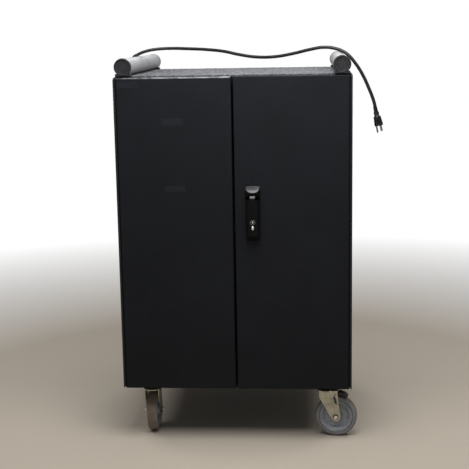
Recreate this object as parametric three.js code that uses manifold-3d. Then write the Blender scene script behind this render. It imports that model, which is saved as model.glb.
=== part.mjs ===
// Laptop charging cart: a steel cabinet on casters with two doors, grip tubes and a swing-handle lock.
// Millimetres, +Z up, the doors face -Y, the floor is Z = 0.
import * as THREE from "three";
import { mergeVertices } from "three/addons/utils/BufferGeometryUtils.js";
import Module from "manifold-3d";

const wasm = await Module();
wasm.setup();

// Driving sizes of the cabinet.
const width = 676;
const depth = 620;
const baseHeight = 160;
const bodyHeight = 918;
const sheet = 1.5;
const gap = 0.3;
const flange = 23;

// Doors and their continuous hinges.
const doorDepth = 20;
const doorGap = 5;
const doorFold = 5;
const doorLip = 12;
const doorLow = 2;
const doorHigh = 1;
const barrelRadius = 3.5;
const barrelBore = 2;
const pinRadius = 1.6;
const knuckles = 12;
const knuckleGap = 0.5;
const leafSheet = 1.2;
const leafReach = 15;
const stopReach = 22;

// Inside of the cabinet.
const slots = 10;
const dividerSheet = 3;
const dividerHeight = 250;
const rackDepth = 330;
const rackSetback = 70;
const shelfSetback = 62;
const shelfBackGap = 45;
const stripLength = 560;
const stripHeight = 45;
const stripDepth = 44;
const lowerStripDrop = 150;
const upperStripDrop = 148;

// Grip tubes on the top.
const tubeRadius = 24;
const tubeWall = 2.8;
const tubeInset = 29;
const tubeSetback = 5;
const capThick = 5;
const capRadius = 25;
const footWidth = 44;
const footLength = 30;
const footHeight = 6;
const matThick = 3;
const matInset = 3;
const fieldRise = 0.4;
const fieldGap = 6;

// Swing-handle lock on the right door.
const lockX = 55;
const lockTop = 768;
const lockHeight = 159;
const lockWidth = 40;
const lockReach = 26.5;
const basePlate = 5;
const leverRun = 0.5;
const turnDrop = 16;
const pinDrop = 29;
const camPinRadius = 14;
const rodRadius = 4;
const rodSet = 31;
const rodRest = 6;
const cylinderDrop = 102;

// Casters.
const wheelRadius = 62.5;
const wheelWidth = 32;
const swivelInsetX = 76;
const swivelInsetY = 66;
const trail = 32;
const legSheet = 3;
const legGap = 3.5;
const axleRadius = 5;

// Cord and its gland.
const glandY = 190;
const glandDrop = 242;
const cordRadius = 4.75;
const cordClear = 0.4;

// Levels and planes that follow from the sizes.
const front = -depth / 2;
const back = depth / 2;
const halfW = width / 2;
const top = baseHeight + bodyHeight;
const frameFront = front + 22;
const frameBack = frameFront + sheet;
const innerX = halfW - sheet - gap;
const hingeX = halfW - barrelRadius;
const hingeY = front + barrelRadius;
const doorEdge = hingeX - barrelRadius - 0.4;
const doorBottom = baseHeight + doorLow;
const doorTop = top - doorHigh;
const shelfTop = baseHeight + 2 + (bodyHeight - 2) / 2;
const tubeX = halfW - tubeInset;
const matTop = top + gap + matThick;
const tubeZ = matTop + gap + capRadius;

const root = new THREE.Group();
root.name = "laptop_charging_cart";

function solid(geometry) {
  const bare = geometry.index ? geometry.toNonIndexed() : geometry.clone();
  bare.deleteAttribute("normal");
  bare.deleteAttribute("uv");
  const merged = mergeVertices(bare, 1e-4);
  return new wasm.Manifold(
    new wasm.Mesh({
      numProp: 3,
      vertProperties: new Float32Array(merged.attributes.position.array),
      triVerts: new Uint32Array(merged.index.array),
    }),
  );
}

function add(name, shape, parent = root) {
  const data = shape.getMesh();
  const geometry = new THREE.BufferGeometry();
  geometry.setAttribute("position", new THREE.BufferAttribute(data.vertProperties, 3));
  geometry.setIndex(new THREE.BufferAttribute(data.triVerts, 1));
  const mesh = new THREE.Mesh(geometry);
  mesh.name = name;
  parent.add(mesh);
  return mesh;
}

function join(...shapes) {
  return shapes.reduce((whole, shape) => whole.add(shape));
}

function cut(shape, ...tools) {
  return tools.reduce((rest, tool) => rest.subtract(tool), shape);
}

function box(x0, x1, y0, y1, z0, z1) {
  const geometry = new THREE.BoxGeometry(Math.abs(x1 - x0), Math.abs(y1 - y0), Math.abs(z1 - z0));
  geometry.translate((x0 + x1) / 2, (y0 + y1) / 2, (z0 + z1) / 2);
  return solid(geometry);
}

function outline(points) {
  return new THREE.Shape(points.map(([a, b]) => new THREE.Vector2(a, b)));
}

function roundedBox(a0, a1, b0, b1, radius, steps) {
  const points = [];
  const corners = [[a1, b0, -90], [a1, b1, 0], [a0, b1, 90], [a0, b0, 180]];
  for (const [a, b, start] of corners) {
    const ca = a === a1 ? a - radius : a + radius;
    const cb = b === b1 ? b - radius : b + radius;
    for (let i = 0; i <= steps; i++) {
      const t = THREE.MathUtils.degToRad(start + (90 * i) / steps);
      points.push([ca + radius * Math.cos(t), cb + radius * Math.sin(t)]);
    }
  }
  return points;
}

// A profile in the XY plane, drawn up from z0 to z1.
function riseZ(points, z0, z1) {
  const geometry = new THREE.ExtrudeGeometry(outline(points), { depth: z1 - z0, bevelEnabled: false });
  geometry.translate(0, 0, z0);
  return solid(geometry);
}

// A profile in the XZ plane, drawn along Y from y0 to y1.
function riseY(points, y0, y1) {
  const geometry = new THREE.ExtrudeGeometry(outline(points), { depth: y1 - y0, bevelEnabled: false });
  geometry.rotateX(Math.PI / 2);
  geometry.translate(0, y1, 0);
  return solid(geometry);
}

// A profile in the YZ plane, drawn along X from x0 to x1.
function riseX(points, x0, x1) {
  const geometry = new THREE.ExtrudeGeometry(outline(points), { depth: x1 - x0, bevelEnabled: false });
  geometry.applyMatrix4(new THREE.Matrix4().set(0, 0, 1, 0, 1, 0, 0, 0, 0, 1, 0, 0, 0, 0, 0, 1));
  geometry.translate(x0, 0, 0);
  return solid(geometry);
}

function rodZ(x, y, z0, z1, radius, sides) {
  const geometry = new THREE.CylinderGeometry(radius, radius, z1 - z0, sides);
  geometry.rotateX(Math.PI / 2);
  geometry.translate(x, y, (z0 + z1) / 2);
  return solid(geometry);
}

function rodY(x, z, y0, y1, radius, sides) {
  const geometry = new THREE.CylinderGeometry(radius, radius, y1 - y0, sides);
  geometry.translate(x, (y0 + y1) / 2, z);
  return solid(geometry);
}

function rodX(y, z, x0, x1, radius, sides) {
  const geometry = new THREE.CylinderGeometry(radius, radius, x1 - x0, sides);
  geometry.rotateZ(Math.PI / 2);
  geometry.translate((x0 + x1) / 2, y, z);
  return solid(geometry);
}

// Base pan: floor with upturned edges, the front one is the lower door stop.
const panFront = riseY(
  [[-halfW + stopReach + 1, baseHeight], [halfW - stopReach - 1, baseHeight],
    [halfW - stopReach - 1, baseHeight + 2 + flange], [-halfW + stopReach + 1, baseHeight + 2 + flange]],
  frameFront, frameBack,
);
const panLow = baseHeight;
const panHigh = baseHeight + 2 + flange;
const panBack = back - 2 * (sheet + gap);
const pan = cut(
  box(-innerX, innerX, frameBack + gap, panBack, panLow, panHigh),
  box(-innerX + sheet, innerX - sheet, frameBack - 1, panBack - sheet, panLow + 2, panHigh + 1),
);
const panSill = box(-halfW + stopReach + 1, halfW - stopReach - 1, frameFront, frameBack + 2, panLow, panLow + 2);
add("base_pan", join(pan, panFront, panSill));

// Top panel: a lid with edges turned down, the front one is the upper door stop.
const lid = box(-halfW, halfW, frameFront, back, top - sheet, top);
const lidFront = box(
  -halfW + stopReach + 1, halfW - stopReach - 1, frameFront, frameBack, top - sheet - flange, top - sheet / 2,
);
const lidSkirt = cut(
  box(-innerX, innerX, frameBack + gap, panBack, top - sheet - flange, top - sheet / 2),
  box(-innerX + sheet, innerX - sheet, frameBack - 1, panBack - sheet, top - 2 * flange, top - sheet),
);
add("top_panel", join(lid, lidFront, lidSkirt));

// Top mat: a rubber sheet over the whole top, pressed a little thinner along the grip tubes.
const fieldHalf = tubeX - capRadius - fieldGap;
add("top_mat", join(
  riseZ(roundedBox(-halfW + matInset, halfW - matInset, frameFront + 1, back - matInset, 6, 4), top + gap, matTop),
  riseZ(
    roundedBox(-fieldHalf, fieldHalf, frameFront + 1 + fieldGap, back - matInset - fieldGap, 6, 4),
    matTop - 1, matTop + fieldRise,
  ),
));

// Side panels: skin, door stop flange and rear flange, in plan from the outer face inwards.
const sideTop = top - sheet - gap;
const rearFlange = back - sheet - gap;
const sidePlan = [
  [0, hingeY + barrelRadius + 0.9], [0, back], [sheet, back], [sheet, rearFlange], [16, rearFlange],
  [16, rearFlange - sheet], [sheet, rearFlange - sheet], [sheet, frameBack], [stopReach, frameBack],
  [stopReach, frameFront], [sheet, frameFront], [sheet, hingeY + barrelRadius + 0.9],
];
const rightPlan = sidePlan.map(([inward, y]) => [halfW - inward, y]);
const leftPlan = sidePlan.map(([inward, y]) => [-halfW + inward, y]).reverse();
const glandZ = top - glandDrop;
const glandHole = 9.4;
add("right_side_panel", riseZ(rightPlan, baseHeight, sideTop));
add("left_side_panel", cut(
  riseZ(leftPlan, baseHeight, sideTop),
  rodX(glandY, glandZ, -halfW - 5, -halfW + 10, glandHole, 12),
));

// Back panel with two fields of vent slots.
const ventRows = 5;
const ventPitch = 30;
const ventLength = 150;
const lowerVentRise = 80;
const upperVentRise = 70;
let backPanel = box(-innerX, innerX, back - sheet, back, baseHeight + gap, sideTop);
for (const fieldLow of [baseHeight + lowerVentRise, shelfTop + upperVentRise]) {
  for (const side of [-1, 1]) {
    for (let row = 0; row < ventRows; row++) {
      const z = fieldLow + row * ventPitch;
      const x = side * 130;
      backPanel = cut(backPanel, riseY(
        roundedBox(x - ventLength / 2, x + ventLength / 2, z - 4, z + 4, 3.5, 1), back - 5, back + 5,
      ));
    }
  }
}
add("back_panel", backPanel);

// Middle shelf: a plate with its edges turned down.
const shelfFront = front + shelfSetback;
const shelfBack = back - shelfBackGap;
add("middle_shelf", cut(
  box(-innerX, innerX, shelfFront, shelfBack, shelfTop - flange, shelfTop),
  box(-innerX + sheet, innerX - sheet, shelfFront + sheet, shelfBack - sheet, shelfTop - 2 * flange, shelfTop - 2),
));

// Divider racks: a base plate with upright dividers and a low stop at the rear.
const rackHalf = innerX - sheet - 12;
const slotPitch = (2 * rackHalf - dividerSheet) / slots;
function rack(name, floor) {
  const low = floor + gap;
  const nose = front + rackSetback;
  const tail = nose + rackDepth;
  let body = box(-rackHalf, rackHalf, nose, tail, low, low + 2);
  body = join(body, box(-rackHalf, rackHalf, tail - 2, tail, low, low + 40));
  const side = [
    [nose, low], [tail, low], [tail, low + dividerHeight - 60], [tail - 40, low + dividerHeight],
    [nose + 90, low + dividerHeight], [nose + 25, low + dividerHeight - 60], [nose, low + 60],
  ];
  for (let i = 0; i <= slots; i++) {
    const x = -rackHalf + i * slotPitch;
    body = join(body, riseX(side, x, x + dividerSheet));
  }
  add(name, body);
}
rack("lower_divider_rack", baseHeight + 2);
rack("upper_divider_rack", shelfTop);

// Power strips along the back, one above each rack.
function powerStrip(name, low) {
  const face = back - sheet - gap - stripDepth;
  let body = box(-stripLength / 2, stripLength / 2, face, back - sheet - gap, low, low + stripHeight);
  const pitch = (stripLength - 40) / slots;
  for (let i = 0; i < slots; i++) {
    const x = -stripLength / 2 + 20 + pitch * (i + 0.5);
    const z = low + stripHeight / 2;
    body = cut(body, riseY(roundedBox(x - 16, x + 16, z - 14, z + 14, 8, 1), face - 1, face + 4));
  }
  add(name, body);
}
powerStrip("lower_power_strip", shelfTop - lowerStripDrop);
powerStrip("upper_power_strip", top - upperStripDrop);

// Grip tubes with end caps; each cap plugs its tube and stands on the mat by its foot.
for (const [sideName, side] of [["left", -1], ["right", 1]]) {
  const x = side * tubeX;
  const tubeFront = front + tubeSetback + capThick + gap;
  add(sideName + "_grip_tube", cut(
    rodY(x, tubeZ, tubeFront, -tubeFront, tubeRadius, 20),
    rodY(x, tubeZ, tubeFront - 5, -tubeFront + 5, tubeRadius - tubeWall, 20),
  ));
  for (const [endName, end] of [["front", 1], ["rear", -1]]) {
    const face = front + tubeSetback;
    const foot = cut(
      box(
        x - footWidth / 2, x + footWidth / 2, face + 1, face + footLength,
        matTop + gap, matTop + gap + footHeight,
      ),
      rodY(x, tubeZ, face + capThick, face + footLength + 5, tubeRadius + gap + 0.1, 20),
    );
    const disc = rodY(x, tubeZ, face, face + capThick, capRadius, 20);
    const plug = rodY(x, tubeZ, face + 1, face + capThick + 18, tubeRadius - tubeWall - gap, 12);
    const cap = add(sideName + "_" + endName + "_tube_cap", join(foot, disc, plug));
    if (end < 0) {
      cap.rotation.z = Math.PI;
      cap.position.x = 2 * x;
    }
  }
}

// Doors: folded pans with a lip round the open back.
function doorPan(x0, x1) {
  const z0 = doorBottom;
  const z1 = doorTop;
  const pan = (inset, fold, y0) => {
    const shape = outline([
      [x0 + inset + fold, z0 + inset + fold], [x1 - inset - fold, z0 + inset + fold],
      [x1 - inset - fold, z1 - inset - fold], [x0 + inset + fold, z1 - inset - fold],
    ]);
    const geometry = new THREE.ExtrudeGeometry(shape, {
      depth: 60, bevelEnabled: true, bevelSize: fold, bevelThickness: fold, bevelSegments: 3,
    });
    geometry.rotateX(Math.PI / 2);
    geometry.translate(0, y0 + 60 + fold, 0);
    return solid(geometry);
  };
  const outer = pan(0, doorFold, front).intersect(
    box(x0 - 1, x1 + 1, front - 1, front + doorDepth, z0 - 1, z1 + 1),
  );
  const hollow = pan(sheet, doorFold - sheet, front + sheet).intersect(
    box(x0 - 1, x1 + 1, front - 1, front + doorDepth - sheet, z0 - 1, z1 + 1),
  );
  const mouth = box(
    x0 + doorLip, x1 - doorLip, front + doorDepth - 5, front + doorDepth + 5, z0 + doorLip, z1 - doorLip,
  );
  return cut(outer, hollow, mouth);
}
const doorBack = front + doorDepth;
const freeEdge = doorGap / 2;

// Left door with the strike plate of its magnetic catch.
const catchX = -65;
const strike = box(catchX - 20, catchX + 20, doorBack - sheet, doorBack, top - 50, doorTop - 2);
add("left_door", join(doorPan(-doorEdge, -freeEdge), strike));
const catchLow = top - sheet - flange - 20;
add("magnetic_catch", join(
  box(catchX - 19, catchX + 19, frameBack + gap, frameBack + 22, catchLow, top - sheet - gap),
  box(catchX - 19, catchX + 19, doorBack + 0.4, frameBack + 2, catchLow, top - sheet - flange - gap),
));

// Right door with the spindle hole and the two rod guides.
const turnZ = lockTop - turnDrop;
const upperRodX = lockX + 12;
const lowerRodX = lockX - 12;
const rodY0 = front + rodSet;
function rodGuide(x, z) {
  const strap = box(freeEdge + 3, x + 14, doorBack - sheet, doorBack, z - 12, z + 12);
  const tab = box(x - 12, x + 12, doorBack - sheet, rodY0 + 8, z - 1, z + 1);
  return join(strap, tab);
}
const upperGuideZ = top - 60;
const lowerGuideZ = baseHeight + 62;
add("right_door", cut(
  join(doorPan(freeEdge, doorEdge), rodGuide(upperRodX, upperGuideZ), rodGuide(lowerRodX, lowerGuideZ)),
  rodY(lockX, turnZ, front - 5, front + 8, 9, 16),
  rodZ(upperRodX, rodY0, upperGuideZ - 5, upperGuideZ + 5, rodRadius + 0.5, 12),
  rodZ(lowerRodX, rodY0, lowerGuideZ - 5, lowerGuideZ + 5, rodRadius + 0.5, 12),
));

// Continuous hinges: knuckles of the two leaves alternate on one pin.
for (const [sideName, side] of [["left", -1], ["right", 1]]) {
  const low = doorBottom + 4;
  const high = doorTop - 4;
  const pitch = (high - low) / knuckles;
  const ax = side * hingeX;
  const bore = rodZ(ax, hingeY, low - 5, high + 5, barrelBore, 6);
  const leaf = (first, inner, outer) => {
    const x0 = ax + side * inner;
    const x1 = ax + side * outer;
    let body = box(x0, x1, hingeY + barrelRadius + 0.5, hingeY + leafReach, low, high);
    for (let i = first; i < knuckles; i += 2) {
      const z0 = low + i * pitch + knuckleGap / 2;
      const z1 = low + (i + 1) * pitch - knuckleGap / 2;
      const barrel = rodZ(ax, hingeY, z0, z1, barrelRadius, 8);
      const tongue = box(x0, x1, hingeY, hingeY + barrelRadius + 1, z0, z1);
      body = join(body, barrel, tongue);
    }
    return cut(body, bore);
  };
  add(sideName + "_hinge_frame_leaf", leaf(0, barrelRadius - sheet - gap - leafSheet, barrelRadius - sheet - gap));
  add(sideName + "_hinge_door_leaf", leaf(1, -barrelRadius + 0.1, -barrelRadius + 0.1 + leafSheet));
  add(sideName + "_hinge_pin", rodZ(ax, hingeY, low - 1, high + 1, pinRadius, 6));
}

// Lock: a base plate, a turning head with its spindle, and a lever hinged to the head by a cross pin.
const lockBottom = lockTop - lockHeight;
const plateFront = front - gap - basePlate;
const leverBack = plateFront - leverRun;
const leverFront = front - lockReach + 0.5;
const crossY = leverBack - 7.2;
const crossZ = lockTop - pinDrop;
add("lock_base_plate", cut(
  riseY(roundedBox(lockX - lockWidth / 2, lockX + lockWidth / 2, lockBottom, lockTop, 9, 4), plateFront, front - gap),
  rodY(lockX, turnZ, plateFront - 5, front + 5, 7, 12),
));
function archPlan(half) {
  const deep = leverBack - leverFront;
  const points = [[lockX + half, leverBack]];
  for (let i = 0; i <= 10; i++) {
    const t = (Math.PI * i) / 10;
    const bulge = Math.sign(Math.cos(t)) * Math.abs(Math.cos(t)) ** 0.6;
    points.push([lockX + half * bulge, leverBack - deep * (0.35 + 0.65 * Math.sin(t) ** 0.6)]);
  }
  points.push([lockX - half, leverBack]);
  return points.reverse();
}
const headLow = lockTop - 37;
const head = cut(
  riseZ(archPlan(lockWidth / 2), headLow, lockTop),
  riseX([[leverBack + 1, lockTop], [leverBack + 1, lockTop + 9], [leverFront - 5, lockTop + 9],
    [leverFront - 5, lockTop - 20], [leverFront, lockTop - 16], [leverBack - 1, lockTop]],
  lockX - 30, lockX + 30),
  riseX([[leverBack + 1, headLow], [leverFront - 2, headLow + 12], [leverFront - 2, headLow - 5],
    [leverBack + 1, headLow - 5]], lockX - 30, lockX + 30),
  box(lockX - 8.4, lockX + 8.4, leverFront + 4, leverBack - 0.6, headLow - 3, crossZ + 7),
  rodX(crossY, crossZ, lockX - 30, lockX + 30, 2.2, 10),
);
const spindleBack = front + 26.5;
const spindle = box(lockX - 4, lockX + 4, leverBack - 2, spindleBack, turnZ - 4, turnZ + 4);
add("lock_head", join(head, spindle));
add("lever_pin", rodX(crossY, crossZ, lockX - 18, lockX + 18, 1.9, 10));
const leverTop = lockTop - 42;
const cylinderZ = lockTop - cylinderDrop;
function keyhole(grow) {
  const points = [];
  for (let i = 0; i <= 12; i++) {
    const t = THREE.MathUtils.degToRad(-54 + (288 * i) / 12);
    points.push([lockX + (8.5 + grow) * Math.cos(t), cylinderZ + (8.5 + grow) * Math.sin(t)]);
  }
  for (let i = 0; i <= 6; i++) {
    const t = THREE.MathUtils.degToRad(180 + (180 * i) / 6);
    points.push([lockX + (5 + grow) * Math.cos(t), cylinderZ - 19.5 + (5 + grow) * Math.sin(t)]);
  }
  return points;
}
const neckEnd = [];
for (let i = 0; i <= 6; i++) {
  const t = (Math.PI * i) / 6;
  neckEnd.push([crossY + 6 * Math.cos(t), crossZ + 6 * Math.sin(t)]);
}
const neck = riseX(
  [[crossY + 6, leverTop - 8], ...neckEnd, [leverFront + 0.8, leverTop + 1], [leverFront + 0.8, leverTop - 8]],
  lockX - 8, lockX + 8,
);
add("lock_lever", cut(
  join(riseZ(archPlan(lockWidth / 2 - 1), lockBottom + 2, leverTop), neck),
  riseX([[leverFront - 2, lockBottom + 16], [leverBack - 8, lockBottom + 1], [leverFront - 2, lockBottom + 1]],
    lockX - 30, lockX + 30),
  riseY(keyhole(0.25), leverFront - 5, leverFront + 18),
  rodX(crossY, crossZ, lockX - 30, lockX + 30, 2.2, 10),
));
add("lock_cylinder", cut(
  riseY(keyhole(0), leverFront - 0.5, leverFront + 17.5),
  rodY(lockX, cylinderZ, leverFront - 5, leverFront + 14, 6.2, 16),
));
add("key_plug", cut(
  rodY(lockX, cylinderZ, leverFront - 0.3, leverFront + 13.5, 5.9, 16),
  box(lockX - 0.9, lockX + 0.9, leverFront - 5, leverFront + 7, cylinderZ - 4, cylinderZ + 4),
));

// Latch cam on the spindle, with one pin in the yoke of each rod.
const camY = front + 22;
const camStep = camPinRadius * Math.SQRT1_2;
add("latch_cam", cut(
  join(
    rodY(lockX, turnZ, camY, camY + 3, camPinRadius + 6, 24),
    rodY(lockX + camStep, turnZ - camStep, camY + 2, rodY0 + 5, 3, 10),
    rodY(lockX - camStep, turnZ + camStep, camY + 2, rodY0 + 5, 3, 10),
  ),
  box(lockX - 4.25, lockX + 4.25, camY - 5, camY + 10, turnZ - 4.25, turnZ + 4.25),
));
function latchRod(name, side, rodX0, tip) {
  const pinZ = turnZ - side * camStep;
  const slotIn = lockX + side * (camStep - 3.8);
  const slotOut = lockX + side * (camPinRadius + 3.8);
  const yoke = cut(
    box(slotIn - side * 2.6, slotOut + side * 3.7, rodY0 - 2, rodY0 + 2, pinZ - 9, pinZ + 9),
    box(slotIn, slotOut, rodY0 - 5, rodY0 + 5, pinZ - 3.8, pinZ + 3.8),
  );
  const start = pinZ + side * 6;
  const rod = rodZ(rodX0, rodY0, Math.min(start, tip), Math.max(start, tip), rodRadius, 12);
  add(name, join(yoke, rod));
}
latchRod("upper_latch_rod", 1, upperRodX, top - sheet - flange - rodRest);
latchRod("lower_latch_rod", -1, lowerRodX, baseHeight + 2 + flange + rodRest);

// Casters: the fork turns on the plate's kingpin, the wheel on the axle; local +X is the trailing way.
const plateTop = baseHeight - gap;
const plateLow = plateTop - 4;
const capLow = plateLow - 6;
const crownTop = capLow - gap - 10;
const crownLow = crownTop - legSheet;
const legIn = wheelWidth / 2 + legGap;
const legOut = legIn + legSheet;
const pedalX = 30;
const pedalZ = 131.5;
function wheelSolid() {
  const wheelHalf = wheelWidth / 2;
  const hubHalf = wheelHalf + legGap - 1;
  const profile = [
    [axleRadius + 0.4, -hubHalf], [15, -hubHalf], [20, -9], [43, -9], [49, -wheelHalf + 1],
    [56, -wheelHalf], [wheelRadius, -7], [wheelRadius, 7], [56, wheelHalf], [49, wheelHalf - 1],
    [43, 9], [20, 9], [15, hubHalf], [axleRadius + 0.4, hubHalf], [axleRadius + 0.4, -hubHalf],
  ];
  const points = profile.map(([r, y]) => new THREE.Vector2(r, y));
  const geometry = new THREE.LatheGeometry(points, 20);
  geometry.translate(trail, 0, wheelRadius);
  return solid(geometry);
}
function forkSolid(brake) {
  const tilt = THREE.MathUtils.degToRad(15);
  const legSlot = roundedBox(-3, 3, -11, 11, 2.9, 2).map(([a, b]) => [
    trail - 3 + a * Math.cos(tilt) - b * Math.sin(tilt),
    wheelRadius + 48 + a * Math.sin(tilt) + b * Math.cos(tilt),
  ]);
  const leg = [[-18, crownTop], [-17, 122]];
  for (let i = 0; i <= 6; i++) {
    const t = THREE.MathUtils.degToRad(200 + (170 * i) / 6);
    leg.push([trail + 14 * Math.cos(t), wheelRadius + 14 * Math.sin(t)]);
  }
  leg.push([37, crownTop]);
  const rib = [[-8, crownTop - 4], [17, 88], [25, 78], [31, 82], [12, crownTop - 4]];
  const legPair = [1, -1].map((side) => {
    const y0 = side > 0 ? legIn : -legOut;
    const r0 = side > 0 ? legOut - 0.2 : -legOut - 1;
    return join(riseY(leg, y0, y0 + legSheet), riseY(rib, r0, r0 + 1.2));
  });
  const crown = riseZ(roundedBox(-26, 38, -legOut, legOut, 9, 3), crownLow, crownTop);
  const cup = rodZ(0, 0, crownTop - 1, capLow - gap, 31, 14);
  const bolts = [
    rodZ(0, 0, crownLow - 5, plateTop, 6.4, 12),
    rodY(trail, wheelRadius, -40, 40, axleRadius + 0.3, 12),
    riseY(legSlot, -40, 40),
  ];
  if (brake) {
    bolts.push(rodY(pedalX, pedalZ, -40, 40, 2.8, 10));
  }
  return cut(join(crown, cup, ...legPair), ...bolts);
}
function pedalSolid() {
  const arm = [
    [pedalX - 4, pedalZ + 1], [pedalX + 1, pedalZ + 2], [46, 131.6], [58, 127.2], [66, 120.5], [68.2, 122.5],
    [60, 130.4], [48, 134.6], [pedalX + 2, 135.4], [pedalX - 4, pedalZ + 3.8],
  ];
  const shoe = [[49, 131], [50, 126.6], [60, 123.2], [62, 126.4]];
  return join(
    riseY(arm, -15, 15), riseY(shoe, -13, 13),
    riseY(roundedBox(pedalX - 4, pedalX + 4, pedalZ - 2.2, pedalZ + 3.8, 1.8, 2), -18.8, 18.8),
    rodY(pedalX, pedalZ, -legOut, legOut, 2.4, 10),
  );
}
function hexY(radius, y0, y1) {
  const points = [];
  for (let i = 0; i < 6; i++) {
    const t = (Math.PI * i) / 3;
    points.push([trail + radius * Math.cos(t), wheelRadius + radius * Math.sin(t)]);
  }
  return riseY(points, y0, y1);
}
function caster(name, x, y, azimuth, brake) {
  const plate = join(
    riseZ(roundedBox(-47, 47, -34, 34, 6, 2), plateLow, plateTop),
    rodZ(0, 0, capLow, plateLow + 1, 27, 12),
    rodZ(0, 0, crownLow - 2, plateLow + 1, 6, 12),
    rodZ(0, 0, crownLow - 4, crownLow - gap, 10, 12),
  );
  const fixed = new THREE.Group();
  fixed.position.set(x, y, 0);
  root.add(fixed);
  add(name + "_caster_plate", plate, fixed);
  const turning = new THREE.Group();
  turning.position.set(x, y, 0);
  turning.rotation.z = THREE.MathUtils.degToRad(azimuth);
  root.add(turning);
  add(name + "_fork", forkSolid(brake), turning);
  add(name + "_wheel", wheelSolid(), turning);
  add(name + "_axle", join(
    rodY(trail, wheelRadius, -legOut - 5, legOut + 5, axleRadius, 12),
    hexY(9.2, -legOut - 6.3, -legOut - 1 - gap),
    hexY(9.2, legOut + 1 + gap, legOut + 8.3),
  ), turning);
  if (brake) {
    add(name + "_brake_pedal", pedalSolid(), turning);
  }
}
const swivelX = halfW - swivelInsetX;
const swivelFront = front + swivelInsetY;
const swivelRear = back - swivelInsetY;
caster("front_left", -swivelX, swivelFront, 90, true);
caster("front_right", swivelX, swivelFront, -5, true);
caster("rear_left", -swivelX, swivelRear, 168, false);
caster("rear_right", swivelX, swivelRear, 53, false);

// Cord: out of the gland on the left side, a hanging loop, over both grip tubes, down the right side.
const glandTip = -halfW - 26;
add("cord_gland", cut(
  join(
    rodX(glandY, glandZ, -halfW - 5, -halfW - gap, 15, 16),
    rodX(glandY, glandZ, glandTip, -halfW - 4, 8.5, 14),
    rodX(glandY, glandZ, -halfW - 1, -halfW + 12, glandHole - 0.3, 12),
    rodX(glandY, glandZ, -halfW + sheet + gap, -halfW + 8, 14, 6),
  ),
  rodX(glandY, glandZ, glandTip - 5, glandTip + 12, cordRadius + cordClear, 12),
));
const drawnHalf = 338;
const drawnTop = 1078;
const cordRoute = [
  [glandTip + 10, glandY, glandZ], [glandTip - 4, glandY, glandZ], [glandTip - 12, glandY, glandZ],
  ...[
    [-396, 190, 830.4], [-410.8, 190, 815.6], [-416.3, 190, 795], [-409, 187, 675.5], [-402, 171, 633.5],
    [-385, 132.5, 616], [-368, 94, 633.5], [-361, 78, 675.5], [-355, 74.5, 800], [-349, 73.5, 910],
    [-344.4, 72, 1035],
    [-343.8, 67, 1091], [-340, 56, 1115], [-331, 42, 1129.2], [-319, 25, 1134.1], [-305, 6, 1140],
    [-283, -13, 1146.5], [-251, -38, 1151.7], [-200, -70, 1154.2], [-143, -98, 1152.6], [-87, -122, 1149.8],
    [-31.5, -146, 1143.8], [14, -166, 1134.2], [67.5, -188, 1127], [120, -210, 1127.9], [172.4, -231, 1136.4],
    [219, -248.5, 1147], [257, -261, 1152.7], [290, -270, 1149], [314, -276, 1139.3], [328, -279, 1129],
    [345, -280, 1109], [362.2, -280, 1083], [382.5, -280, 1041], [398.4, -280, 999], [405.6, -280, 966],
  ].map(([x, y, z]) => [
    x + (halfW - drawnHalf) * THREE.MathUtils.clamp(x / 300, -1, 1), y, z + top - drawnTop,
  ]),
];
const cordCurve = new THREE.CatmullRomCurve3(
  cordRoute.map(([x, y, z]) => new THREE.Vector3(x, y, z)), false, "centripetal",
);
const cordRound = [];
for (let i = 0; i < 8; i++) {
  const t = (Math.PI * i) / 4;
  cordRound.push([cordRadius * Math.cos(t), cordRadius * Math.sin(t)]);
}
add("power_cord", solid(new THREE.ExtrudeGeometry(
  outline(cordRound), { steps: 68, bevelEnabled: false, extrudePath: cordCurve },
)));

// Plug: local -Z is the way the prongs point.
const plugProfile = [
  [0, -42], [11, -42], [12.2, -40], [12, -35], [10, -24], [9, -16], [10.2, -14], [10.2, -9], [7.2, -7.5], [6.6, -1],
  [6, 0], [0, 0],
];
const plugBody = new THREE.LatheGeometry(plugProfile.map(([r, z]) => new THREE.Vector2(r, z)), 14);
plugBody.rotateX(Math.PI / 2);
plugBody.scale(1, 1.06, 1);
const plug = new THREE.Group();
const plugWay = cordCurve.getTangentAt(1);
const plugBase = cordCurve.getPointAt(1).addScaledVector(plugWay, -8);
plug.position.copy(plugBase);
plug.quaternion.setFromUnitVectors(new THREE.Vector3(0, 0, -1), plugWay);
root.add(plug);
add("plug", join(
  cut(solid(plugBody), rodZ(0, 0, -8.6, 5, cordRadius + cordClear, 12)),
  box(1.5, 7.5, -7.1, -5.6, -58, -40),
  box(1.5, 7.5, 5.6, 7.1, -58, -40),
  rodZ(-7.2, 0, -61, -40, 2.4, 10),
), plug);

export default root;
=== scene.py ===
# Laptop charging cart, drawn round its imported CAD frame. Metres, +Z up, the doors face -Y.
import math

import bmesh
import bpy
from mathutils import Matrix, Vector, noise


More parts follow.
